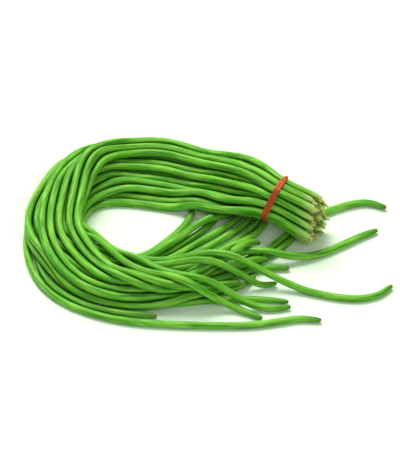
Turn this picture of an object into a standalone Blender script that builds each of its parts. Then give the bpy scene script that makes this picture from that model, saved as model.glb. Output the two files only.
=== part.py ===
"""A bunch of 26 yardlong beans lying on a table. The pods run left from their tied stem ends, fold
round in a loop and come back in front, where their tips fan out to the right. A red rubber band
holds the stem ends together.

All sizes below are in millimetres. The meshes are made in metres.
"""

import math

import bpy
import numpy as np

MM = 0.001

# A pod is a round tube: a thin stem stub, a small swelling, the pod itself and a blunt tapered tip
POD_COUNT = 26
POD_RADIUS = 3.9
POD_RADIUS_SPREAD = 0.25
POD_SIDES = 7
KNOTS = 38
STEM_PROFILE = ((0.0, 0.30), (3.5, 0.36), (5.0, 0.55), (6.5, 0.60), (8.5, 0.80), (12.0, 0.93), (20.0, 1.0))
TIP_PROFILE = ((0.0, 0.30), (1.2, 0.55), (5.0, 0.74), (14.0, 0.86), (38.0, 1.0))
STEM_RINGS = (0.0, 3.5, 5.0, 6.5, 8.5)
TIP_RINGS = (5.0, 1.2, 0.0)
STEM_END_SCATTER = 4.0

# Space left between the pods, and the distance between the middles of two neighbours
POD_GAP = 0.5
PITCH = 2 * POD_RADIUS + POD_GAP
LAYER_RISE = 7.3

# The middle of the tied part lies beside a pod, this far off it as shares of the pitch
BUNDLE_OFFSET = (0.30, 0.22)

# Steps of a smooth route between two drawn points
CURVE_STEPS = 24

# The rubber band
BAND_WIDTH = 6.5
BAND_THICKNESS = 1.2
BAND_GAP = 1.52
BAND_STEPS = 40
BAND_STATION = 1

# The underside is flattened up to this height, so that the bunch rests on flat spots
FLOOR_LINE = 0.45

# Stations of the tied part and of the loop: x, y and middle height, the spread of the round bundle,
# the shares of the round bundle and of the fan, the fan's lift and width, and the squeeze sideways
STATIONS = (
    (113, -5.5, 24.5, 1.15, 1.0, 0.0, 0, 0, 1.0),
    (68.5, 16, 37.5, 0.98, 1.0, 0.0, 0, 0, 1.0),
    (31, 48, 38, 1.30, 0.6, 0.4, 9, 98, 1.0),
    (11, 66, 44, 1.25, 0.4, 0.6, 20, 88, 1.0),
    (-10, 74, 34, 1.15, 0.2, 0.8, 14, 78, 1.0),
    (-56, 89, 28, 1.05, 0.0, 1.0, 1, 81, 1.0),
    (-107, 88, 26, 1.05, 0.0, 0.5, 0, 104, 1.0),
    (-144, 51, 24, 1.00, 0.0, 0.0, 0, 0, 0.92),
    (-153, -8, 24, 1.00, 0.0, 0.0, 0, 0, 1.0),
)
AFTER_STATIONS = (-136, -62)

# In the fan the pods lie in layers, and each layer holds this many
FAN_TURN = math.radians(8)
FAN_LAYERS = (10, 8, 5, 3)
FAN_STEPS = 9
FAN_LAYER_SHIFT = 0.025

# At the bend they lie in four layers, listed from the inside of the loop to the outside
BEND_TURN = math.radians(33)
BEND_LAYERS = (
    (1, 2, 3, 4, 5, 7, 8),
    (9, 10, 12, 11, 13, 14, 6),
    (26, 24, 25, 23, 17, 16, 15),
    (22, 21, 20, 19, 18),
)
BEND_PLACES = (
    (-25.0, -16.6, -8.3, 0.0, 8.3, 17.0, 28.5),
    (-24.0, -15.7, -7.4, 0.9, 9.2, 17.5, 24.5),
    (-23.5, -15.4, -7.3, 0.8, 8.6, 16.2, 22.8),
    (-23.0, -14.7, -4.0, 4.5, 13.0),
)

# Routes of the pods after the bend, one line for each pod from 1 to 26, as x, y and height.
# A pod with a higher number lies over one with a lower number where the two cross.
TAILS = (
    ((-108, -40, 5), (-78, -42, 5), (-53, -36, 5), (-39, -26, 5), (-29, -16, 5), (-20, -7, 5),
     (-10, 3, 5), (-1, 12, 5), (8, 23, 4), (14, 37, 4)),
    ((-116, -48, 4), (-83, -55, 4), (-48, -43, 5), (-29, -29, 6), (-20, -20, 6), (-10, -12, 6),
     (-1, -4, 6), (9, 5, 6), (18, 14, 6), (28, 24, 5), (36, 39, 4)),
    ((-120, -58, 4), (-88, -67, 4), (-48, -51, 4), (-20, -32, 5), (-10, -25, 6), (9, -10, 6),
     (28, 8, 6), (38, 17, 5), (48, 36, 4)),
    ((-124, -67, 4), (-93, -83, 4), (-58, -79, 4), (-18, -59, 4), (54, -30, 4), (98, 20, 4),
     (117, 36, 4), (142, 48, 4), (165, 54, 4), (180, 45, 4)),
    ((-130, -75, 4), (-98, -93, 4), (-58, -97, 4), (-18, -79, 4), (60, -33, 4), (88, 7, 4)),
    ((-148, -76, 4), (-133, -87, 4), (-100, -103, 4), (-58, -106, 4), (7, -97, 4), (31, -95, 4),
     (45, -98, 4), (72, -98, 4), (80, -103, 4)),
    ((-166, -55, 4), (-150, -81, 4), (-128, -102, 4), (-100, -114, 4), (-50, -123, 4)),
    ((-179, -27, 4), (-170, -62, 4), (-155, -89, 4), (-136, -107, 4), (-79, -131, 4),
     (20, -137, 4), (70, -132, 4), (92, -126, 4), (113, -129, 4)),
    ((-102, -29, 9), (-89, -37, 10), (-77, -38, 10), (-65, -32, 9), (-54, -23, 8), (-44, -11, 7),
     (-33, 1, 6), (-25, 13, 5), (-18, 27, 4), (-14, 45, 4)),
    ((-104, -42, 12), (-78, -49, 12), (-58, -40, 11), (-41, -25, 10), (-24, -9, 10), (-15, 4, 10),
     (-5, 15, 10), (4, 23, 9), (18, 29, 8), (32, 42, 5)),
    ((-122, -61, 12), (-93, -77, 12), (-53, -71, 11), (-8, -51, 9), (17, -33, 7), (32, -27, 8),
     (57, -37, 12), (74, -41, 12), (92, -37, 10), (122, -23, 6), (152, -1, 5), (171, 10, 5)),
    ((-112, -52, 12), (-88, -61, 12), (-48, -55, 11), (-28, -50, 10), (-10, -38, 8), (9, -24, 7),
     (28, -10, 6), (40, 3, 5), (48, 17, 4), (58, 36, 4)),
    ((-128, -70, 12), (-98, -87, 12), (-58, -87, 10), (-18, -73, 9), (17, -64, 7), (37, -53, 5),
     (53, -39, 5), (59, -40, 5)),
    ((-132, -78, 12), (-103, -97, 12), (-58, -99, 11), (17, -69, 7), (41, -55, 5), (74, -45, 5),
     (80, -49, 5)),
    ((-138, -83, 11), (-108, -104, 10), (-68, -110, 9), (-28, -104, 8), (28, -75, 4), (47, -59, 4)),
    ((-124, -69, 19), (-96, -90, 19), (-58, -95, 16), (-18, -83, 12), (17, -56, 8), (54, -11, 4)),
    ((-116, -57, 19), (-88, -63, 19), (-61, -61, 17), (-47, -61, 16), (-30, -61, 14),
     (-13, -56, 12), (4, -46, 10), (23, -30, 10), (33, -20, 9), (42, -5, 8), (52, 10, 6),
     (60, 29, 4)),
    ((-156, -55, 23), (-142, -76, 22), (-128, -91, 20), (-100, -105, 17), (-68, -107, 12),
     (-40, -101, 8), (22, -70, 4)),
    ((-150, -48, 25), (-128, -77, 24), (-100, -99, 21), (-63, -100, 13), (-33, -90, 9),
     (32, -51, 4)),
    ((-142, -36, 26), (-128, -60, 26), (-107, -86, 24), (-82, -99, 19), (-43, -92, 12),
     (-8, -73, 8), (24, -50, 5)),
    ((-134, -26, 27), (-125, -46, 28), (-93, -92, 24), (-63, -103, 17), (-23, -94, 8),
     (32, -64, 4)),
    ((-128, -14, 27), (-108, -58, 28), (-79, -93, 24), (-52, -104, 17), (-40, -103, 12),
     (-18, -101, 8), (7, -92, 5), (32, -79, 4)),
    ((-110, -46, 18), (-53, -68, 18), (16, -73, 8), (28, -72, 6), (53, -79, 4), (70, -72, 4)),
    ((-113, -27, 20), (-89, -59, 23), (-68, -76, 26), (-45, -95, 25), (-21, -105, 18),
     (20, -108, 6), (31, -111, 4), (54, -128, 4)),
    ((-110, -36, 17), (-96, -48, 18), (-70, -62, 23), (-37, -87, 23), (13, -97, 11), (32, -106, 7),
     (68, -112, 4), (82, -106, 4)),
    ((-117, -2, 11), (-104, -21, 12), (-89, -42, 17), (-65, -57, 23), (-51, -61, 26),
     (-37, -60, 25), (-5, -63, 21), (62, -71, 8), (92, -83, 4), (142, -97, 4), (162, -95, 4),
     (177, -86, 4), (184, -76, 4)),
)

# Past this y, left of this x, a pod has come round the bend
FRONT_Y = -12
FRONT_X = -60
BEND_X = -90

# Spacing of the pods: repeats, sinking, pull to the drawn route, stiffness, and pushes in each
# repeat. The pods start thin and grow to their full size, and the first knots are held in place.
SPACING_PHASES = (
    (120, 0.06, 0.10, 0.35, 4),
    (60, 0.10, 0.04, 0.30, 6),
    (60, 0.02, 0.02, 0.10, 6),
)
PAIR_REFRESH = 5
FULL_SIZE_REPEATS = 110
FIRST_SIZE = 0.3
HELD_KNOTS = 4
HELD_PULL = 0.3
EVENING = 0.1
LONGEST_PUSH = 3.0
PUSH_STRENGTH = 1.5
UPPER_SHARE = 0.3

# Two pods cross where their directions differ by more than this sine, and one lies well above
CROSSING_SINE = 0.2
CROSSING_UPRIGHT = 0.7

SEED = 7


def clear_scene():
    for thing in list(bpy.data.objects):
        bpy.data.objects.remove(thing, do_unlink=True)


def length_of(vectors):
    return np.sqrt((vectors * vectors).sum(axis=-1))


def turned(places, angle):
    c, s = math.cos(angle), math.sin(angle)
    return np.stack([c * places[:, 0] - s * places[:, 1], s * places[:, 0] + c * places[:, 1]], axis=1)


def smooth_route(points, count):
    """Evenly spaced knots along a smooth curve through the given points."""
    points = np.array(points, float)
    ends = 2 * points[0] - points[1], 2 * points[-1] - points[-2]
    points = np.vstack([ends[0], points, ends[1]])
    share = np.linspace(0, 1, CURVE_STEPS, endpoint=False)[:, None]
    pieces = []
    for i in range(1, len(points) - 2):
        here, there = points[i], points[i + 1]
        leave = (there - points[i - 1]) / 2
        arrive = (points[i + 2] - here) / 2
        pieces.append(
            (2 * share**3 - 3 * share**2 + 1) * here
            + (share**3 - 2 * share**2 + share) * leave
            + (3 * share**2 - 2 * share**3) * there
            + (share**3 - share**2) * arrive
        )
    curve = np.vstack(pieces + [points[-2][None]])
    along = np.concatenate([[0], np.cumsum(length_of(np.diff(curve, axis=0)))])
    even = np.linspace(0, along[-1], count)
    return np.stack([np.interp(even, along, curve[:, axis]) for axis in range(3)], axis=1)


def round_bundle():
    """Places of the pods in the tied part: the spots of a honeycomb nearest to its middle."""
    steps = np.arange(-6, 7)
    i, j = np.meshgrid(steps, steps)
    across = (i + 0.5 * j).ravel() * PITCH - BUNDLE_OFFSET[0] * PITCH
    up = (j * math.sqrt(3) / 2).ravel() * PITCH - BUNDLE_OFFSET[1] * PITCH
    nearest = np.argsort(np.hypot(across, up).round(6), kind="stable")[:POD_COUNT]
    return np.stack([across[nearest], up[nearest]], axis=1)


def layered(places, angle, counts):
    """The places sorted into layers from the lowest up, each from its inner to its outer end."""
    spots = turned(places, angle).round(6)
    upward = np.argsort(spots[:, 1], kind="stable")
    layers = []
    for count in counts:
        layer, upward = upward[:count], upward[count:]
        layers.append(layer[np.argsort(spots[layer, 0], kind="stable")])
    return layers


def home_routes():
    """The route drawn for each pod, before the pods are spaced."""
    bundle = round_bundle()
    fan = np.zeros((POD_COUNT, 2))
    for level, layer in enumerate(layered(bundle, FAN_TURN, FAN_LAYERS)):
        for column, place in enumerate(layer):
            from_back = (len(layer) - 1 - column) / FAN_STEPS + FAN_LAYER_SHIFT * level
            fan[place] = 0.5 - from_back, POD_RADIUS + LAYER_RISE * level
    bend = np.zeros((POD_COUNT, 2))
    place_of = {}
    counts = [len(layer) for layer in BEND_LAYERS]
    for level, layer in enumerate(layered(bundle, BEND_TURN, counts)):
        for column, place in enumerate(layer):
            bend[place] = BEND_PLACES[level][column], POD_RADIUS + LAYER_RISE * level
            place_of[BEND_LAYERS[level][column]] = place

    path = np.array([station[:2] for station in STATIONS] + [AFTER_STATIONS], float)
    ahead = np.gradient(path, axis=0)
    ahead /= length_of(ahead)[:, None]
    scatter = np.random.RandomState(SEED)
    routes = []
    for number in range(1, POD_COUNT + 1):
        place = place_of[number]
        points = []
        for k, (x, y, middle, spread, in_bundle, in_fan, lift, width, squeeze) in enumerate(STATIONS):
            in_bend = 1 - in_bundle - in_fan
            across = in_bundle * bundle[place, 0] * spread + in_fan * fan[place, 0] * width
            across += in_bend * bend[place, 0] * squeeze
            up = in_bundle * (bundle[place, 1] * spread + middle) + in_fan * (fan[place, 1] + lift)
            up += in_bend * (POD_RADIUS + (bend[place, 1] - POD_RADIUS) / squeeze)
            along = scatter.uniform(-STEM_END_SCATTER, STEM_END_SCATTER) if k == 0 else 0
            px = x + ahead[k, 1] * across + ahead[k, 0] * along
            py = y - ahead[k, 0] * across + ahead[k, 1] * along
            points.append((px, py, max(up, POD_RADIUS)))
        routes.append(smooth_route(points + list(TAILS[number - 1]), KNOTS))
    return np.array(routes).round(4)


def stacking_order(home):
    """Which of two crossing pods lies on top: the tied part is over all tips, then the numbers decide.
    Round the bend the order is left open."""
    at_front = np.maximum.accumulate((home[:, :, 1] < FRONT_Y) & (home[:, :, 0] < FRONT_X), axis=1)
    numbers = np.arange(POD_COUNT)[:, None]
    order = np.where(at_front, numbers, 1000.0)
    order[home[:, :, 0] < BEND_X] = np.nan
    return order.ravel()


def closest_shares(a0, a1, b0, b1):
    """How far along each of two pieces of route their closest points lie."""
    a, b, between = a1 - a0, b1 - b0, a0 - b0
    aa, bb, ab = (a * a).sum(axis=1), (b * b).sum(axis=1), (a * b).sum(axis=1)
    a_off, b_off = (a * between).sum(axis=1), (b * between).sum(axis=1)
    sharpness = np.maximum(aa * bb - ab * ab, 1e-9)
    on_a = np.where(sharpness > 1e-6 * aa * bb, np.clip((ab * b_off - a_off * bb) / sharpness, 0, 1), 0.5)
    unbound = (ab * on_a + b_off) / bb
    on_b = np.clip(unbound, 0, 1)
    on_a = np.where(unbound == on_b, on_a, (ab * on_b - a_off) / aa)
    return np.clip(on_a, 0, 1), on_b


def near_pairs(knots, starts, owner, reach):
    """Pairs of pieces of two pods that come within reach of each other."""
    middles = (knots[starts] + knots[starts + 1]) / 2
    widest = length_of(knots[starts + 1] - knots[starts]).max() + reach
    apart = sum((middles[:, None, axis] - middles[None, :, axis]) ** 2 for axis in range(3))
    one, other = np.nonzero((apart < widest**2) & (owner[:, None] < owner[None]))
    first, second = starts[one], starts[other]
    on_a, on_b = closest_shares(knots[first], knots[first + 1], knots[second], knots[second + 1])
    point_a = knots[first] + on_a[:, None] * (knots[first + 1] - knots[first])
    point_b = knots[second] + on_b[:, None] * (knots[second + 1] - knots[second])
    close = length_of(point_a - point_b) < reach
    return first[close], second[close]


def ease(routes, home, sink, pull, stiffness):
    """Sinks each pod a little, draws it towards its home route, straightens it and evens its knots."""
    routes[:, HELD_KNOTS:, 2] -= sink
    routes[:, :, :2] += pull * (home[:, :, :2] - routes[:, :, :2])
    routes[:, :HELD_KNOTS] += HELD_PULL * (home[:, :HELD_KNOTS] - routes[:, :HELD_KNOTS])
    inner = 6 * routes[:, 2:-2] - 4 * (routes[:, 1:-3] + routes[:, 3:-1])
    routes[:, 2:-2] -= stiffness / 16 * (inner + routes[:, :-4] + routes[:, 4:])
    steps = np.diff(routes, axis=1)
    lengths = length_of(steps)[:, :, None]
    shift = EVENING * (lengths - lengths.mean(axis=1, keepdims=True)) / lengths * steps
    routes[:, :-1] += shift
    routes[:, 1:] -= shift


def push_apart(knots, first, second, order, thickness, size):
    """Moves the knots of every pair of pieces that lie too close, and returns all knots."""
    a0, b0 = knots[first], knots[second]
    a, b = knots[first + 1] - a0, knots[second + 1] - b0
    on_a, on_b = closest_shares(a0, a0 + a, b0, b0 + b)
    between = a0 + on_a[:, None] * a - b0 - on_b[:, None] * b
    distance = length_of(between)
    upright = np.cross(a, b)
    turn = length_of(upright)
    upright /= np.maximum(turn, 1e-9)[:, None]
    upright *= np.where((upright[:, 2] > 0) == (order[first] > order[second]), 1.0, -1.0)[:, None]
    crossing = (on_a > 0) & (on_a < 1) & (on_b > 0) & (on_b < 1)
    crossing &= turn > CROSSING_SINE * length_of(a) * length_of(b)
    crossing &= np.abs(upright[:, 2]) > CROSSING_UPRIGHT
    crossing &= np.abs(order[first] - order[second]) > 0
    away = np.where(crossing[:, None], upright, between / np.maximum(distance, 1e-6)[:, None])
    distance = np.where(crossing, (between * upright).sum(axis=1), distance)
    short = (thickness[first] + thickness[second] + POD_GAP) * size - distance

    tight = short > 0
    first, second, on_a, on_b = first[tight], second[tight], on_a[tight], on_b[tight]
    push = away[tight] * np.minimum(short[tight], LONGEST_PUSH)[:, None]
    upper = 0.5 + UPPER_SHARE * away[tight, 2]
    move = np.zeros_like(knots)
    weight = np.zeros(len(knots))
    sides = ((first, 1 - on_a, upper), (first + 1, on_a, upper))
    sides += ((second, 1 - on_b, upper - 1), (second + 1, on_b, upper - 1))
    for knot, share, part in sides:
        weight += np.bincount(knot, share, len(knots))
        for axis in range(3):
            move[:, axis] += np.bincount(knot, part * share * push[:, axis], len(knots))
    return knots + PUSH_STRENGTH * move / np.maximum(weight, 0.7)[:, None]


def spread_apart(home, radii):
    """The routes of the pods, spaced so that no pod runs through another one."""
    order = stacking_order(home)
    owner = np.repeat(np.arange(POD_COUNT), KNOTS - 1)
    starts = owner * KNOTS + np.tile(np.arange(KNOTS - 1), POD_COUNT)
    thickness = np.repeat(radii, KNOTS)
    routes = home.copy()
    done = 0
    for repeats, sink, pull, stiffness, pushes in SPACING_PHASES:
        for _ in range(repeats):
            if done % PAIR_REFRESH == 0:
                reach = 2 * radii.max() + POD_GAP + 5 * sink + 3
                first, second = near_pairs(routes.reshape(-1, 3), starts, owner, reach)
            ease(routes, home, sink, pull, stiffness)
            size = min(1.0, FIRST_SIZE + (1 - FIRST_SIZE) * done / FULL_SIZE_REPEATS)
            for _ in range(pushes):
                knots = push_apart(routes.reshape(-1, 3), first, second, order, thickness, size)
                routes = knots.reshape(home.shape)
                routes[:, :, 2] = np.maximum(routes[:, :, 2], radii[:, None])
            routes = routes.round(7)
            done += 1
    return routes


def profile_at(distance, profile):
    return np.interp(distance, [spot[0] for spot in profile], [spot[1] for spot in profile])


def pod_rings(route, radius):
    """Middles, directions and radii of the rings of one pod, from its stem end to its tip."""
    along = np.concatenate([[0], np.cumsum(length_of(np.diff(route, axis=0)))])
    total = along[-1]
    spots = list(STEM_RINGS) + list(along[1:-1]) + [total - back for back in TIP_RINGS]
    spots = np.array(sorted(spots))
    middles = np.stack([np.interp(spots, along, route[:, axis]) for axis in range(3)], axis=1)
    steps = np.diff(middles, axis=0)
    steps /= length_of(steps)[:, None]
    ahead = np.vstack([steps[:1], steps[:-1] + steps[1:], steps[-1:]])
    ahead /= length_of(ahead)[:, None]
    radii = radius * profile_at(spots, STEM_PROFILE) * profile_at(total - spots, TIP_PROFILE)
    return middles, ahead, radii


def pod_mesh(route, radius):
    """A closed tube with a flat side down."""
    middles, ahead, radii = pod_rings(route, radius)
    angles = np.radians(-90) + (np.arange(POD_SIDES) + 0.5) * 2 * math.pi / POD_SIDES
    level = np.cross((0.0, 0.0, 1.0), ahead)
    level /= length_of(level)[:, None]
    upward = np.cross(ahead, level)
    rims = level[:, None] * np.cos(angles)[None, :, None] + upward[:, None] * np.sin(angles)[None, :, None]
    points = (middles[:, None] + rims * radii[:, None, None]).reshape(-1, 3)
    points[:, 2] = np.maximum(points[:, 2], FLOOR_LINE)
    return points, tube_faces(len(middles), POD_SIDES)


def tube_faces(rings, sides):
    faces = [tuple(range(sides - 1, -1, -1))]
    for ring in range(rings - 1):
        for side in range(sides):
            here, there = ring * sides + side, ring * sides + (side + 1) % sides
            faces.append((here, there, there + sides, here + sides))
    last = (rings - 1) * sides
    faces.append(tuple(range(last, last + sides)))
    return faces


def hull_round(places, radii, out):
    """Points round the outside of all the pods in one plane, at the given distance from them."""
    points = []
    for step in range(BAND_STEPS):
        angle = 2 * math.pi * step / BAND_STEPS
        side = np.array([math.cos(angle), math.sin(angle)])
        outermost = int(np.argmax(places @ side + radii))
        points.append(places[outermost] + side * (radii[outermost] + out))
    return points


def band_mesh(routes, radii):
    """A strip wrapped round the tied part, which follows the pods at both edges and in the middle."""
    centre = np.array(STATIONS[BAND_STATION][:3], float)
    ahead = centre - np.array(STATIONS[BAND_STATION - 1][:3])
    ahead /= length_of(ahead)
    level = np.cross(ahead, (0.0, 0.0, 1.0))
    level /= length_of(level)
    upward = np.cross(level, ahead)
    loops = []
    for out, edges in ((0.0, (-0.5, 0.0, 0.5)), (BAND_THICKNESS, (0.5, 0.0, -0.5))):
        for edge in edges:
            middle = centre + ahead * edge * BAND_WIDTH
            places = np.array([crossing_place(route, middle, ahead, level, upward) for route in routes])
            hull = hull_round(places, radii, BAND_GAP + out)
            loops.append([middle + level * across + upward * up for across, up in hull])
    faces = []
    for loop in range(len(loops)):
        for step in range(BAND_STEPS):
            here, there = loop * BAND_STEPS, (loop + 1) % len(loops) * BAND_STEPS
            after = (step + 1) % BAND_STEPS
            faces.append((here + step, here + after, there + after, there + step))
    return np.array(loops).reshape(-1, 3), faces


def crossing_place(route, middle, ahead, level, upward):
    """Where a pod passes through the plane that stands across the bundle at this middle."""
    offsets = ((route - middle) * ahead).sum(axis=1)
    k = int(np.nonzero((offsets[:-1] < 0) & (offsets[1:] >= 0))[0][0])
    point = route[k] - offsets[k] / (offsets[k + 1] - offsets[k]) * (route[k + 1] - route[k]) - middle
    return (point * level).sum(), (point * upward).sum()


def add_object(name, points, faces, colour, roughness):
    mesh = bpy.data.meshes.new(name)
    mesh.from_pydata((points * MM).tolist(), [], faces)
    mesh.update()
    material = bpy.data.materials.new(name)
    material.use_nodes = True
    surface = material.node_tree.nodes["Principled BSDF"]
    surface.inputs["Base Color"].default_value = (*colour, 1.0)
    surface.inputs["Roughness"].default_value = roughness
    mesh.materials.append(material)
    bpy.context.scene.collection.objects.link(bpy.data.objects.new(name, mesh))


clear_scene()
sizes = np.random.RandomState(SEED + 1)
pod_radii = (POD_RADIUS + sizes.uniform(-POD_RADIUS_SPREAD, POD_RADIUS_SPREAD, POD_COUNT)).round(2)
pod_routes = spread_apart(home_routes(), pod_radii)
shapes = [pod_mesh(route, radius) for route, radius in zip(pod_routes, pod_radii)]
shapes.append(band_mesh(pod_routes, pod_radii))

corners = np.vstack([points for points, faces in shapes])
lowest, highest = corners.min(axis=0), corners.max(axis=0)
origin = np.array([(lowest[0] + highest[0]) / 2, (lowest[1] + highest[1]) / 2, lowest[2]])
for number, (points, faces) in enumerate(shapes[:-1], start=1):
    green = 0.26 + 0.08 * sizes.uniform()
    add_object(f"bean_{number:02d}", points - origin, faces, (0.11, green, 0.02), 0.45)
points, faces = shapes[-1]
add_object("rubber_band", points - origin, faces, (0.62, 0.05, 0.02), 0.5)
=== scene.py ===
"""A bunch of yardlong beans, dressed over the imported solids. Lengths are in metres unless a name
ends in MM."""

import math

import bpy
import numpy as np
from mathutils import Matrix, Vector, kdtree


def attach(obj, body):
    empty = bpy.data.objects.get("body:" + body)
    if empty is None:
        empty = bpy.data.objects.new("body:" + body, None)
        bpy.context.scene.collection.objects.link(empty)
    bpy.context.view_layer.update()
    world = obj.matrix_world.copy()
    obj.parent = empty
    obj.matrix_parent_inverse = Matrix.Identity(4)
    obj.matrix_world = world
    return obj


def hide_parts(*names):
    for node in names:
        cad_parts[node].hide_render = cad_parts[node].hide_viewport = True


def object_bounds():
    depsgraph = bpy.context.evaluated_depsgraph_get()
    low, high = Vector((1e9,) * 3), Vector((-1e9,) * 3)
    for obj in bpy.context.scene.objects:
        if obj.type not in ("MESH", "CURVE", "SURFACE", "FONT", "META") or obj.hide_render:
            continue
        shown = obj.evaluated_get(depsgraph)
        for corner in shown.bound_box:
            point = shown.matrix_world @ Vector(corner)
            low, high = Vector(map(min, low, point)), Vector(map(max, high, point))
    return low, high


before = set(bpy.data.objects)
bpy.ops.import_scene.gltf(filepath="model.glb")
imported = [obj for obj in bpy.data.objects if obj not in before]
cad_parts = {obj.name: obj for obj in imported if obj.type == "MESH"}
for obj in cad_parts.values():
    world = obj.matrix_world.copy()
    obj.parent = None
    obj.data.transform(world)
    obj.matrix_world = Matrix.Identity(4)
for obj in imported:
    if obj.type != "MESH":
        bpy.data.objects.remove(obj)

cad_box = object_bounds()
cad_low, cad_high = np.array(cad_box[0]), np.array(cad_box[1])

# The camera looks down from the front through a long lens, at the photograph's angle. The point that
# it looks at falls in the middle of the picture, and 457 mm there fill the picture's height.
LOOK_DOWN = math.radians(40)
LOOK_AT = Vector((-0.0072, -0.0122, 0.026))
DISTANCE = 8.0
PICTURE_HEIGHT = 0.457
camera = bpy.data.objects.new("camera", bpy.data.cameras.new("camera"))
bpy.context.scene.collection.objects.link(camera)
camera.location = LOOK_AT + DISTANCE * Vector((0, -math.cos(LOOK_DOWN), math.sin(LOOK_DOWN)))
camera.rotation_euler = (math.pi / 2 - LOOK_DOWN, 0, 0)
camera.data.sensor_width = 36
camera.data.lens = camera.data.sensor_width * DISTANCE / PICTURE_HEIGHT
camera.data.clip_end = 50
bpy.context.scene.camera = camera
bpy.context.scene.view_settings.view_transform = "Standard"

# The floor is a plain sheet of pale paper. It lies under the bunch and reaches past the picture, and
# it isn't part of the object.
FLOOR_HALF = 6.0
PAPER_FIBRES = (420, 420, 420)
PAPER_SHADE, PAPER_LIGHT = (0.71, 0.86, 0.66), (0.74, 0.89, 0.69)
floor_mesh = bpy.data.meshes.new("floor")
floor_corners = [(x * FLOOR_HALF, y * FLOOR_HALF, 0) for x, y in ((-1, -1), (1, -1), (1, 1), (-1, 1))]
floor_mesh.from_pydata(floor_corners, [], [(0, 1, 2, 3)])
floor = bpy.data.objects.new("floor", floor_mesh)
bpy.context.scene.collection.objects.link(floor)


def grain_group():
    """Noise that is stretched along each axis and cut to a range, for every material here."""
    group = bpy.data.node_groups.new("grain", "ShaderNodeTree")
    face = group.interface
    for name, kind in (("Vector", "Vector"), ("Stretch", "Vector"), ("Shift", "Float"), ("Detail", "Float"),
                       ("Low", "Float"), ("High", "Float")):
        face.new_socket(name, in_out="INPUT", socket_type="NodeSocket" + kind)
    face.new_socket("Amount", in_out="OUTPUT", socket_type="NodeSocketFloat")
    given, result = group.nodes.new("NodeGroupInput"), group.nodes.new("NodeGroupOutput")
    stretch = group.nodes.new("ShaderNodeVectorMath")
    stretch.operation = "MULTIPLY"
    pattern = group.nodes.new("ShaderNodeTexNoise")
    pattern.noise_dimensions = "4D"
    pattern.inputs["Scale"].default_value = 1
    cut = group.nodes.new("ShaderNodeMapRange")
    cut.interpolation_type = "SMOOTHSTEP"
    for start, end in (
        (given.outputs["Vector"], stretch.inputs[0]),
        (given.outputs["Stretch"], stretch.inputs[1]),
        (stretch.outputs["Vector"], pattern.inputs["Vector"]),
        (given.outputs["Shift"], pattern.inputs["W"]),
        (given.outputs["Detail"], pattern.inputs["Detail"]),
        (pattern.outputs["Fac"], cut.inputs["Value"]),
        (given.outputs["Low"], cut.inputs["From Min"]),
        (given.outputs["High"], cut.inputs["From Max"]),
        (cut.outputs["Result"], result.inputs["Amount"]),
    ):
        group.links.new(start, end)
    return group


GRAIN = grain_group()


class Surface:
    """A material's shader and the nodes that feed it."""

    def __init__(self, name):
        self.material = bpy.data.materials.new(name)
        self.material.use_nodes = True
        self.tree = self.material.node_tree
        self.sockets = self.tree.nodes["Principled BSDF"].inputs

    def feed(self, socket, value):
        if isinstance(value, bpy.types.NodeSocket):
            self.tree.links.new(value, socket)
        elif isinstance(value, tuple) and len(value) < len(socket.default_value):
            socket.default_value = (*value, 1)
        else:
            socket.default_value = value

    def grain(self, vector, stretch, low, high, shift=0.0, detail=3.0):
        node = self.tree.nodes.new("ShaderNodeGroup")
        node.node_tree = GRAIN
        for name, value in (("Vector", vector), ("Stretch", stretch), ("Shift", shift), ("Detail", detail),
                            ("Low", low), ("High", high)):
            self.feed(node.inputs[name], value)
        return node.outputs["Amount"]

    def reckon(self, operation, first, second=0.0):
        node = self.tree.nodes.new("ShaderNodeMath")
        node.operation = operation
        self.feed(node.inputs[0], first)
        self.feed(node.inputs[1], second)
        return node.outputs["Value"]

    def ranged(self, value, low, high, out_low=0.0, out_high=1.0):
        node = self.tree.nodes.new("ShaderNodeMapRange")
        node.interpolation_type = "SMOOTHSTEP"
        for name, entry in (("Value", value), ("From Min", low), ("From Max", high), ("To Min", out_low),
                            ("To Max", out_high)):
            self.feed(node.inputs[name], entry)
        return node.outputs["Result"]

    def mixed(self, share, first, second):
        node = self.tree.nodes.new("ShaderNodeMix")
        node.data_type = "RGBA"
        for name, value in (("Factor", share), ("A", first), ("B", second)):
            self.feed(node.inputs[name], value)
        return node.outputs["Result"]

    def coordinates(self, name):
        """The UV map of that name, and its two values."""
        node = self.tree.nodes.new("ShaderNodeUVMap")
        node.uv_map = name
        split = self.tree.nodes.new("ShaderNodeSeparateXYZ")
        self.tree.links.new(node.outputs["UV"], split.inputs["Vector"])
        return split.outputs["X"], split.outputs["Y"]

    def combined(self, x, y, z):
        node = self.tree.nodes.new("ShaderNodeCombineXYZ")
        for name, value in (("X", x), ("Y", y), ("Z", z)):
            self.feed(node.inputs[name], value)
        return node.outputs["Vector"]

    def relief(self, height, strength, distance):
        node = self.tree.nodes.new("ShaderNodeBump")
        for name, value in (("Height", height), ("Strength", strength), ("Distance", distance)):
            self.feed(node.inputs[name], value)
        self.tree.links.new(node.outputs["Normal"], self.sockets["Normal"])


paper = Surface("floor_paper")
place = paper.tree.nodes.new("ShaderNodeTexCoord").outputs["Object"]
fibres = paper.grain(place, PAPER_FIBRES, 0.3, 0.7)
paper.feed(paper.sockets["Base Color"], paper.mixed(fibres, PAPER_SHADE, PAPER_LIGHT))
paper.feed(paper.sockets["Roughness"], paper.ranged(fibres, 0, 1, 0.85, 0.95))
paper.relief(fibres, 0.1, 0.0002)
floor_mesh.materials.append(paper.material)

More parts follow.
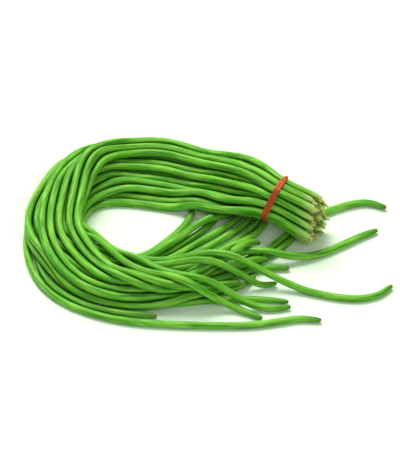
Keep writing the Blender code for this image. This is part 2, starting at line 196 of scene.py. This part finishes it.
# Soft studio light: an even white surround, a large lamp above and behind, and a weaker one in front.
# The lamps hang far off, so that the paper is lit evenly. The surround looks brighter than it lights.
SURROUND, SURROUND_SEEN = 0.38, 1.0
world = bpy.data.worlds.new("studio")
world.use_nodes = True
surround = world.node_tree.nodes["Background"].inputs
surround["Color"].default_value = (1, 1, 1, 1)
seen = world.node_tree.nodes.new("ShaderNodeMapRange")
seen.inputs["To Min"].default_value = SURROUND
seen.inputs["To Max"].default_value = SURROUND_SEEN
light_path = world.node_tree.nodes.new("ShaderNodeLightPath")
world.node_tree.links.new(light_path.outputs["Is Camera Ray"], seen.inputs["Value"])
world.node_tree.links.new(seen.outputs["Result"], surround["Strength"])
bpy.context.scene.world = world
LIGHTS = (
    ("light_above", (-1.30, 3.50, 5.75), 4.2, 600),
    ("light_front", (1.44, -4.32, 4.08), 3.6, 100),
)
for name, spot, size, power in LIGHTS:
    lamp = bpy.data.lights.new(name, "AREA")
    lamp.size = size
    lamp.energy = power
    light = bpy.data.objects.new(name, lamp)
    light.location = spot
    light.rotation_euler = (LOOK_AT - Vector(spot)).to_track_quat("-Z", "Y").to_euler()
    bpy.context.scene.collection.objects.link(light)

# The pods: long round green beans that have grown as one piece with their stem stub. The skin is
# smooth and slightly glossy, swells a little over each seed, and has a seam along two sides. Only the
# band and their own weight hold them.

# How a pod's solid is followed: the sides of its tube, the step from cut to cut, how far a cut may
# reach, and how often the line's corners are eased
CAD_SIDES = 7
MARCH_STEP = 0.002
SECTION_REACH = 0.0062
EASING_PASSES = 14

# The skin's rings: how many corners each has, and how close they lie on the body and at the ends
RING_SIDES = 16
BODY_STEP = 0.0025
END_RINGS = 22
END_LENGTH = 0.013
END_GATHER = 1.5
SKIN_SHARE = 0.962
# Share of the pod's radius at each distance from the stem end and from the tip, in millimetres
STEM_MM = ((0, 0.36), (0.7, 0.30), (3.2, 0.29), (4.4, 0.34), (5.1, 0.50), (5.9, 0.58), (6.6, 0.72),
           (8, 0.85), (10, 0.93), (14, 0.975), (20, 1.0))
TIP_MM = ((0, 0.22), (0.4, 0.42), (1.2, 0.56), (5, 0.75), (14, 0.88), (38, 1.0))

# How far one pod's form may stray from the next one's. The swellings and the wobble leave the ends
# smooth, the skin turns slowly round the pod, and the seams make it slightly oval.
CUT_BACK = 0.0022
SEED_PITCH = 0.0125
SEED_SWELL = (0.006, 0.020)
SMOOTH_END = 0.03
WOBBLE, WOBBLE_KNOTS = 0.02, 12
SLOW_TURN, TURN_KNOTS = 0.7, 5
OVAL = 0.018

# The dry stub, and the torn scraps of the flower's cup round it. A scrap takes its tone from a spot on
# the stub, no further along than TOOTH_TINT.
STUB_LENGTH = 0.0055
STUB_LEAN = 0.0016
STUB_CURVE = 1.5
STUB_SHRIVEL = (0.82, 1.25)
STUB_RAGGED = 0.15
TOOTH_SIDES = 4
TOOTH_COUNT = (3, 6)
TOOTH_LENGTH = (0.0016, 0.0036)
TOOTH_WIDTH = (0.0005, 0.0010)
TOOTH_FLARE = 0.0013
TOOTH_TWIST = 0.0006
TOOTH_THICKNESS = 0.00040
TOOTH_ROOT = 0.50
TOOTH_TAPER = ((0, 1.0), (0.45, 0.9), (0.8, 0.6), (1, 0.2))
TOOTH_TINT = 0.0035

# The skin lies between its neighbours, and is painted in shade, where a spot this far off it comes this
# near to their middles
CROWD_PROBE = 0.0030
CROWD_FAR = 0.0060
CROWD_NEAR = 0.0028
chance = np.random.RandomState(26)


def unit(vector):
    return vector / math.sqrt(float(vector @ vector))


def section(starts, ends, middle, ahead):
    """Middle and area of the CAD pod's cut across the direction ahead, or None past its end."""
    before, after = (starts - middle) @ ahead, (ends - middle) @ ahead
    cut = (before < 0) != (after < 0)
    share = (before[cut] / (before[cut] - after[cut]))[:, None]
    spots = starts[cut] * (1 - share) + ends[cut] * share
    spots = spots[((spots - middle) ** 2).sum(axis=1) < SECTION_REACH**2]
    if len(spots) < 3:
        return None
    side = unit(np.cross(ahead, (0.0, 0.0, 1.0)))
    up = np.cross(side, ahead)
    flat = np.stack([(spots - middle) @ side, (spots - middle) @ up], axis=1)
    around = flat - flat.mean(axis=0)
    flat = flat[np.argsort(np.arctan2(around[:, 1], around[:, 0]), kind="stable")]
    x, y = flat[:, 0], flat[:, 1]
    wedge = x * np.roll(y, -1) - y * np.roll(x, -1)
    area = wedge.sum() / 2
    centre_x = ((x + np.roll(x, -1)) * wedge).sum() / (6 * area)
    centre_y = ((y + np.roll(y, -1)) * wedge).sum() / (6 * area)
    return middle + side * centre_x + up * centre_y, area


def march(starts, ends, middle, ahead):
    """Middles and areas of the cuts from a point to the end of the pod, and the end's middle."""
    found = []
    while True:
        cut = section(starts, ends, middle + ahead * MARCH_STEP, ahead)
        if cut is None:
            close = ((starts - middle) ** 2).sum(axis=1) < SECTION_REACH**2
            reach = float(((starts[close] - middle) @ ahead).max())
            return found, middle + ahead * max(reach, MARCH_STEP / 10)
        ahead = unit(ahead + unit(cut[0] - middle))
        middle = cut[0]
        found.append(cut)


def middle_line(node):
    """Points along the middle of a CAD pod from its stem end to its tip, and its radius."""
    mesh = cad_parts[node].data
    corners = np.array([vertex.co for vertex in mesh.vertices], float)
    edges = np.array([edge.vertices for edge in mesh.edges])
    edges = np.vstack([edges, edges[:, ::-1]])
    starts, ends = corners[edges[:, 0]], corners[edges[:, 1]]
    longest = int(np.argmax(((ends - starts) ** 2).sum(axis=1)))
    ahead = unit(ends[longest] - starts[longest])
    near = (starts[longest] + ends[longest]) / 2
    first = section(starts, ends, near, ahead)
    forward, far_end = march(starts, ends, first[0], ahead)
    back, near_end = march(starts, ends, first[0], -ahead)
    cuts = back[::-1] + [first] + forward
    line = np.vstack([near_end, [cut[0] for cut in cuts], far_end])
    # The stem end is the thinner of the two
    if cuts[1][1] > cuts[-2][1]:
        line = line[::-1]
    flat_sided = CAD_SIDES / 2 * math.sin(2 * math.pi / CAD_SIDES)
    return line, math.sqrt(float(np.median([cut[1] for cut in cuts])) / flat_sided)


def measured(line):
    steps = np.sqrt((np.diff(line, axis=0) ** 2).sum(axis=1))
    return np.concatenate([[0], np.cumsum(steps)])


def at_distances(line, distances):
    along = measured(line)
    return np.stack([np.interp(distances, along, line[:, axis]) for axis in range(3)], axis=1)


def rounded_off(line, passes):
    """The line with its corners eased, and both of its ends kept."""
    line = line.copy()
    for _ in range(passes):
        line[1:-1] = line[1:-1] / 2 + (line[:-2] + line[2:]) / 4
    return line


def profile(distances, table):
    return np.interp(distances * 1000, [row[0] for row in table], [row[1] for row in table])


def tube_faces(rings, sides, first):
    """Faces of a closed tube, with each corner's ring and its place round the ring."""
    faces, around, along = [], [], []
    for ring in range(rings - 1):
        for k in range(sides):
            after = (k + 1) % sides
            low, high = first + ring * sides, first + (ring + 1) * sides
            faces.append((low + k, high + k, high + after, low + after))
            around += [k, k, k + 1, k + 1]
            along += [ring, ring + 1, ring + 1, ring]
    last = first + (rings - 1) * sides
    faces.append(tuple(first + k for k in range(sides)))
    faces.append(tuple(last + k for k in reversed(range(sides))))
    around += list(range(sides)) + list(reversed(range(sides)))
    along += [0] * sides + [rings - 1] * sides
    return faces, around, along


def crowding(points, outward, number):
    """How closely other pods face each point of a pod's skin, from 0 to 1, which sets the painted shade
    there.
    """
    shares = np.zeros(len(points))
    for k, probe in enumerate((points + outward * CROWD_PROBE).tolist()):
        _, nearest, distance = middles_tree.find(probe)
        if middle_owner[nearest] != number:
            shares[k] = (CROWD_FAR - distance) / (CROWD_FAR - CROWD_NEAR)
    return np.clip(shares, 0, 1)


def calyx_tooth(middle, ahead, side, up, radius):
    """Rims of one dry torn scrap of the flower's cup, which stands off the shoulder round the stub."""
    angle = chance.uniform(0, 2 * math.pi)
    outward = side * math.cos(angle) + up * math.sin(angle)
    level = up * math.cos(angle) - side * math.sin(angle)
    length = chance.uniform(*TOOTH_LENGTH)
    width = chance.uniform(*TOOTH_WIDTH)
    flare = chance.uniform(0, TOOTH_FLARE)
    twist = chance.uniform(-TOOTH_TWIST, TOOTH_TWIST)
    rims = []
    for share, size in TOOTH_TAPER:
        centre = middle + outward * (radius * TOOTH_ROOT + flare * share**2)
        centre = centre - ahead * length * share + level * twist * share
        for across, out in ((-1, -1), (1, -1), (1, 1), (-1, 1)):
            rims.append(centre + level * across * width * size + outward * out * TOOTH_THICKNESS / 2)
    return rims


def pod_mesh(name, number, line, radius):
    """The pod's skin: rings along its line, drawn in at both ends, and the scraps round its stub."""
    total = measured(line)[-1]
    cut_back = chance.uniform(0, CUT_BACK)
    stem_spots = np.linspace(cut_back, END_LENGTH, END_RINGS, endpoint=False)
    body = np.linspace(END_LENGTH, total - END_LENGTH, int((total - 2 * END_LENGTH) / BODY_STEP))
    tip_spots = total - END_LENGTH * (1 - np.linspace(0, 1, END_RINGS)[1:]) ** END_GATHER
    spots = np.concatenate([stem_spots, body, tip_spots])
    middles = at_distances(line, spots)
    ahead = np.gradient(middles, axis=0)
    ahead /= np.sqrt((ahead**2).sum(axis=1))[:, None]
    side = np.cross(ahead, (0.0, 0.0, 1.0))
    side /= np.sqrt((side**2).sum(axis=1))[:, None]
    up = np.cross(side, ahead)

    lean = np.clip(1 - spots / STUB_LENGTH, 0, 1) ** STUB_CURVE * STUB_LEAN
    lean_angle = chance.uniform(0, 2 * math.pi)
    middles += (side * math.cos(lean_angle) + up * math.sin(lean_angle)) * lean[:, None]

    size = radius * SKIN_SHARE * profile(spots, STEM_MM) * profile(total - spots, TIP_MM)
    on_stub = spots < STUB_LENGTH
    size[on_stub] *= chance.uniform(*STUB_SHRIVEL, int(on_stub.sum()))
    first_seed = chance.uniform(0, SEED_PITCH)
    strength = chance.uniform(*SEED_SWELL)
    from_ends = np.clip((spots - SMOOTH_END) / SMOOTH_END, 0, 1)
    body_share = from_ends * np.clip((total - SMOOTH_END - spots) / SMOOTH_END, 0, 1)
    knots = np.linspace(0, total, WOBBLE_KNOTS)
    wobble = np.interp(spots, knots, chance.uniform(-WOBBLE, WOBBLE, WOBBLE_KNOTS))
    swell = strength * np.cos(2 * math.pi * (spots - first_seed) / SEED_PITCH)
    size *= 1 + body_share * (swell + wobble)

    knots = np.linspace(0, total, TURN_KNOTS)
    turning = np.interp(spots, knots, chance.uniform(-SLOW_TURN, SLOW_TURN, TURN_KNOTS))
    angles = np.arange(RING_SIDES) * 2 * math.pi / RING_SIDES
    facing = turning[:, None] + chance.uniform(0, 2 * math.pi) + angles[None]
    ragged = chance.uniform(-STUB_RAGGED, STUB_RAGGED, RING_SIDES)
    oval = 1 + OVAL * np.cos(2 * angles)[None] + on_stub[:, None] * ragged[None]
    rims = side[:, None] * np.cos(facing)[:, :, None] + up[:, None] * np.sin(facing)[:, :, None]
    points = (middles[:, None] + rims * (size[:, None] * oval)[:, :, None]).reshape(-1, 3)
    # Painted shade: how much each point of the skin is darkened, from how closely other pods face it
    shade_between = crowding(points, rims.reshape(-1, 3), number)

    faces, around, along = tube_faces(len(spots), RING_SIDES, 0)
    around = np.array(around) / RING_SIDES
    distance = spots[np.array(along)]
    collar = int(np.searchsorted(spots, STUB_LENGTH))
    for _ in range(chance.randint(*TOOTH_COUNT)):
        rims = calyx_tooth(middles[collar], ahead[collar], side[collar], up[collar], radius)
        more, _, _ = tube_faces(len(rims) // TOOTH_SIDES, TOOTH_SIDES, len(points))
        points = np.vstack([points, rims])
        faces += more
        corners = sum(len(face) for face in more)
        around = np.concatenate([around, chance.uniform(0, 1, corners)])
        distance = np.concatenate([distance, np.full(corners, chance.uniform(0, TOOTH_TINT))])

    shade_between = np.concatenate([shade_between, np.zeros(len(points) - len(shade_between))])[np.concatenate(faces)]
    mesh = bpy.data.meshes.new(name)
    mesh.from_pydata(np.clip(points, cad_low, cad_high).tolist(), [], faces)
    mesh.polygons.foreach_set("use_smooth", [True] * len(faces))
    layers = {
        "Skin": (around, distance),
        "Ends": (distance, total - distance),
        "Tint": (np.full(len(distance), chance.uniform()), np.full(len(distance), chance.uniform())),
        "Crowd": (shade_between, shade_between),
    }
    for layer, (u, v) in layers.items():
        mesh.uv_layers.new(name=layer).data.foreach_set("uv", np.stack([u, v], axis=1).ravel())
    mesh.update()
    return mesh


# Colours of the skin, as linear values. The deep green is painted shade, for skin that lies between other
# pods.
FRESH_DARK, FRESH_LIGHT = (0.034, 0.300, 0.002), (0.110, 0.450, 0.012)
PATCH, STREAK, PAINTED_SHADE = (0.215, 0.550, 0.048), (0.006, 0.150, 0.001), (0.001, 0.090, 0.001)
FLECK, SEAM, NECK = (0.36, 0.62, 0.13), (0.30, 0.58, 0.10), (0.40, 0.60, 0.16)
TIP_GREEN, TIP_BROWN = (0.045, 0.200, 0.006), (0.11, 0.13, 0.015)
STUB_TAN, STUB_BROWN = (0.66, 0.70, 0.20), (0.27, 0.23, 0.035)

skin = Surface("pod_skin")
turn_share, metres = skin.coordinates("Skin")
from_stem, from_tip = skin.coordinates("Ends")
pod_tint, pod_shift = skin.coordinates("Tint")
pod_shift = skin.reckon("MULTIPLY", pod_shift, 40.0)
angle = skin.reckon("MULTIPLY", turn_share, 2 * math.pi)
wrapped = skin.combined(skin.reckon("COSINE", angle), skin.reckon("SINE", angle), metres)
streaks = skin.grain(wrapped, (1.9, 1.9, 28), 0.46, 0.62, pod_shift, 5.0)
fine_lines = skin.grain(wrapped, (11, 11, 40), 0.42, 0.72, pod_shift, 3.0)
patches = skin.grain(wrapped, (0.9, 0.9, 48), 0.32, 0.66, pod_shift, 3.0)
flecks = skin.grain(wrapped, (9, 9, 700), 0.60, 0.80, pod_shift, 2.0)
fresh = skin.mixed(pod_tint, FRESH_DARK, FRESH_LIGHT)
colour = skin.mixed(patches, fresh, PATCH)
colour = skin.mixed(skin.reckon("MULTIPLY", streaks, 0.75), colour, STREAK)
colour = skin.mixed(skin.reckon("MULTIPLY", fine_lines, 0.45), colour, PATCH)
colour = skin.mixed(skin.reckon("MULTIPLY", flecks, 0.25), colour, FLECK)
halfway = skin.reckon("SUBTRACT", skin.reckon("FRACT", skin.reckon("MULTIPLY", turn_share, 2.0)), 0.5)
seam = skin.ranged(skin.reckon("ABSOLUTE", halfway), 0.462, 0.494)
colour = skin.mixed(skin.reckon("MULTIPLY", seam, 0.45), colour, SEAM)
colour = skin.mixed(skin.ranged(from_tip, 0.0, 0.030, 0.65, 0.0), colour, TIP_GREEN)
colour = skin.mixed(skin.ranged(from_tip, 0.0006, 0.0032, 0.80, 0.0), colour, TIP_BROWN)
colour = skin.mixed(skin.ranged(from_stem, 0.006, 0.024, 0.85, 0.0), colour, NECK)
specks = skin.grain(wrapped, (1.4, 1.4, 650), 0.50, 0.66, pod_shift, 3.0)
stub = skin.mixed(specks, STUB_TAN, STUB_BROWN)
colour = skin.mixed(skin.ranged(from_stem, 0.0045, 0.0075, 1.0, 0.0), colour, stub)
# Painted shade: skin that lies between other pods is darkened towards a deep green
painted_shade, _ = skin.coordinates("Crowd")
colour = skin.mixed(skin.reckon("MULTIPLY", painted_shade, 0.80), colour, PAINTED_SHADE)
skin.feed(skin.sockets["Base Color"], colour)
skin.feed(skin.sockets["Roughness"], skin.ranged(fine_lines, 0, 1, 0.44, 0.56))
height = skin.reckon("MULTIPLY", streaks, -0.4)
height = skin.reckon("ADD", height, skin.reckon("MULTIPLY", fine_lines, 0.35))
height = skin.reckon("ADD", height, skin.reckon("MULTIPLY", seam, 0.6))
skin.relief(height, 0.30, 0.0004)
for name, value in (("Subsurface Weight", 0.06), ("Subsurface Scale", 0.003), ("Specular IOR Level", 0.20),
                    ("Subsurface Radius", (0.3, 1.0, 0.1))):
    skin.sockets[name].default_value = value

pod_nodes = sorted(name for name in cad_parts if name.startswith("bean_"))
pod_lines = []
for node in pod_nodes:
    line, radius = middle_line(node)
    pod_lines.append((rounded_off(line, EASING_PASSES), radius))
middle_owner = [number for number, (line, _) in enumerate(pod_lines) for _ in line]
middles_tree = kdtree.KDTree(len(middle_owner))
for k, spot in enumerate(np.vstack([line for line, _ in pod_lines]).tolist()):
    middles_tree.insert(spot, k)
middles_tree.balance()
for number, (node, (line, radius)) in enumerate(zip(pod_nodes, pod_lines)):
    pod = bpy.data.objects.new(node.replace("bean", "pod"), pod_mesh(node, number, line, radius))
    pod.data.materials.append(skin.material)
    bpy.context.scene.collection.objects.link(pod)
    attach(pod, "root")
    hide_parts(node)

# The rubber band: one red loop of flat rubber that is wound twice round the tied part and crosses
# itself once in front. It grips the pods, and is stretched straight from one outer pod to the next.
STRAND_WIDTH = 0.0031
STRAND_THICKNESS = 0.0011
STRAND_SIDES = 12
STRAND_ROUNDNESS = 0.6
STRAND_OFF_MIDDLE = 0.00165
STRAND_STEPS = 260
WIDTH_WAVE, WAVES_PER_TURN = 0.03, 2.5
BAND_CLEARANCE = 0.0001
# Which way the crossing faces, and where on the strand, how long and how sudden it is
CROSSING_TURN = math.radians(115)
CROSSING_SHARE = 0.5
CROSSING_SPAN = 0.035
CROSSING_SHARPNESS = 5.0
OUTLINE_ANGLES = 360
FLOW_PASSES = 6
RUBBER_DARK, RUBBER_LIGHT, RUBBER_SCUFF = (0.38, 0.046, 0.005), (0.56, 0.108, 0.014), (0.62, 0.20, 0.05)

band_corners = np.array([vertex.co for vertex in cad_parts["rubber_band"].data.vertices], float)
band_middle = (band_corners.min(axis=0) + band_corners.max(axis=0)) / 2
band_axis = np.linalg.svd(band_corners - band_corners.mean(axis=0))[2][2]
band_axis *= math.copysign(1, band_axis[0])
band_level = unit(np.cross(band_axis, (0.0, 0.0, 1.0)))
band_up = np.cross(band_level, band_axis)


def loop_round(offset):
    """Points at even steps round the outside of all the pods, this far along from the band's middle."""
    centre = band_middle + band_axis * offset
    places = []
    for line, radius in pod_lines:
        before = (line - centre) @ band_axis
        k = int(np.nonzero((before[:-1] >= 0) & (before[1:] < 0))[0][0])
        point = line[k] + (line[k + 1] - line[k]) * before[k] / (before[k] - before[k + 1]) - centre
        places.append((point @ band_level, point @ band_up, radius))
    places = np.array(places)
    points = []
    for step in range(OUTLINE_ANGLES):
        turn = CROSSING_TURN + math.pi + 2 * math.pi * step / OUTLINE_ANGLES
        direction = np.array([math.cos(turn), math.sin(turn)])
        x, y, radius = places[int(np.argmax(places[:, :2] @ direction + places[:, 2]))]
        points.append(np.array([x, y]) + direction * (radius + BAND_CLEARANCE + STRAND_THICKNESS / 2))
    points = np.array(points + points[:1])
    steps = np.concatenate([[0], np.cumsum(np.sqrt((np.diff(points, axis=0) ** 2).sum(axis=1)))])
    even = np.linspace(0, steps[-1], STRAND_STEPS, endpoint=False)
    return np.stack([np.interp(even, steps, points[:, axis]) for axis in range(2)], axis=1)


edges = [loop_round(offset) for offset in (-STRAND_OFF_MIDDLE, STRAND_OFF_MIDDLE)]
strand = []
for step in range(2 * STRAND_STEPS):
    turns = step / STRAND_STEPS
    sway = math.tanh(CROSSING_SHARPNESS * math.cos(math.pi * turns)) / math.tanh(CROSSING_SHARPNESS)
    here = step % STRAND_STEPS
    across, up = edges[0][here] * (1 - sway) / 2 + edges[1][here] * (1 + sway) / 2
    strand.append((across, up, sway * STRAND_OFF_MIDDLE, turns))
strand = np.array(strand)
flow = np.roll(strand[:, :2], -1, axis=0) - np.roll(strand[:, :2], 1, axis=0)
for _ in range(FLOW_PASSES):
    flow = flow / 2 + (np.roll(flow, 1, axis=0) + np.roll(flow, -1, axis=0)) / 4
outward = np.stack([flow[:, 1], -flow[:, 0]], axis=1)
outward /= np.sqrt((outward**2).sum(axis=1))[:, None]
# Where the strand crosses itself, this turn is lifted over the other
over = np.exp(-(((strand[:, 3] - CROSSING_SHARE) / CROSSING_SPAN) ** 2))
over = over * (STRAND_THICKNESS + 2 * BAND_CLEARANCE)
strand[:, :2] += outward * over[:, None]

points = []
for (across, up, offset, turns), away in zip(strand, outward):
    spot = band_middle + band_axis * offset + band_level * across + band_up * up
    out = band_level * away[0] + band_up * away[1]
    width = STRAND_WIDTH * (1 + WIDTH_WAVE * math.sin(2 * math.pi * turns * WAVES_PER_TURN))
    for k in range(STRAND_SIDES):
        angle = 2 * math.pi * k / STRAND_SIDES
        c, s = math.cos(angle), math.sin(angle)
        wide = math.copysign(abs(c) ** STRAND_ROUNDNESS, c) * width / 2
        thick = math.copysign(abs(s) ** STRAND_ROUNDNESS, s) * STRAND_THICKNESS / 2
        points.append(spot + band_axis * wide + out * thick)
faces, where = [], []
for ring in range(2 * STRAND_STEPS):
    low, high = ring * STRAND_SIDES, (ring + 1) % (2 * STRAND_STEPS) * STRAND_SIDES
    for k in range(STRAND_SIDES):
        after = (k + 1) % STRAND_SIDES
        faces.append((low + k, low + after, high + after, high + k))
        where += [(k, ring), (k + 1, ring), (k + 1, ring + 1), (k, ring + 1)]
band_mesh = bpy.data.meshes.new("rubber_band")
band_mesh.from_pydata(np.clip(points, cad_low, cad_high).tolist(), [], faces)
band_mesh.polygons.foreach_set("use_smooth", [True] * len(faces))
where = np.array(where) / (STRAND_SIDES, STRAND_STEPS)
band_mesh.uv_layers.new(name="Strand").data.foreach_set("uv", where.ravel())
band_mesh.update()

rubber = Surface("red_rubber")
turn_share, turns = rubber.coordinates("Strand")
angle = rubber.reckon("MULTIPLY", turn_share, 2 * math.pi)
wrapped = rubber.combined(rubber.reckon("COSINE", angle), rubber.reckon("SINE", angle), turns)
bloom = rubber.grain(wrapped, (1.2, 1.2, 14), 0.35, 0.70, 3.0)
scuffs = rubber.grain(wrapped, (6, 2, 60), 0.55, 0.75, 7.0, 4.0)
colour = rubber.mixed(bloom, RUBBER_DARK, RUBBER_LIGHT)
colour = rubber.mixed(rubber.reckon("MULTIPLY", scuffs, 0.4), colour, RUBBER_SCUFF)
rubber.feed(rubber.sockets["Base Color"], colour)
rubber.feed(rubber.sockets["Roughness"], rubber.ranged(scuffs, 0, 1, 0.38, 0.60))
rubber.relief(scuffs, 0.25, 0.0003)
for name, value in (("Subsurface Weight", 0.15), ("Subsurface Scale", 0.001), ("Specular IOR Level", 0.25)):
    rubber.sockets[name].default_value = value
band_mesh.materials.append(rubber.material)
band = bpy.data.objects.new("band", band_mesh)
bpy.context.scene.collection.objects.link(band)
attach(band, "root")
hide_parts("rubber_band")
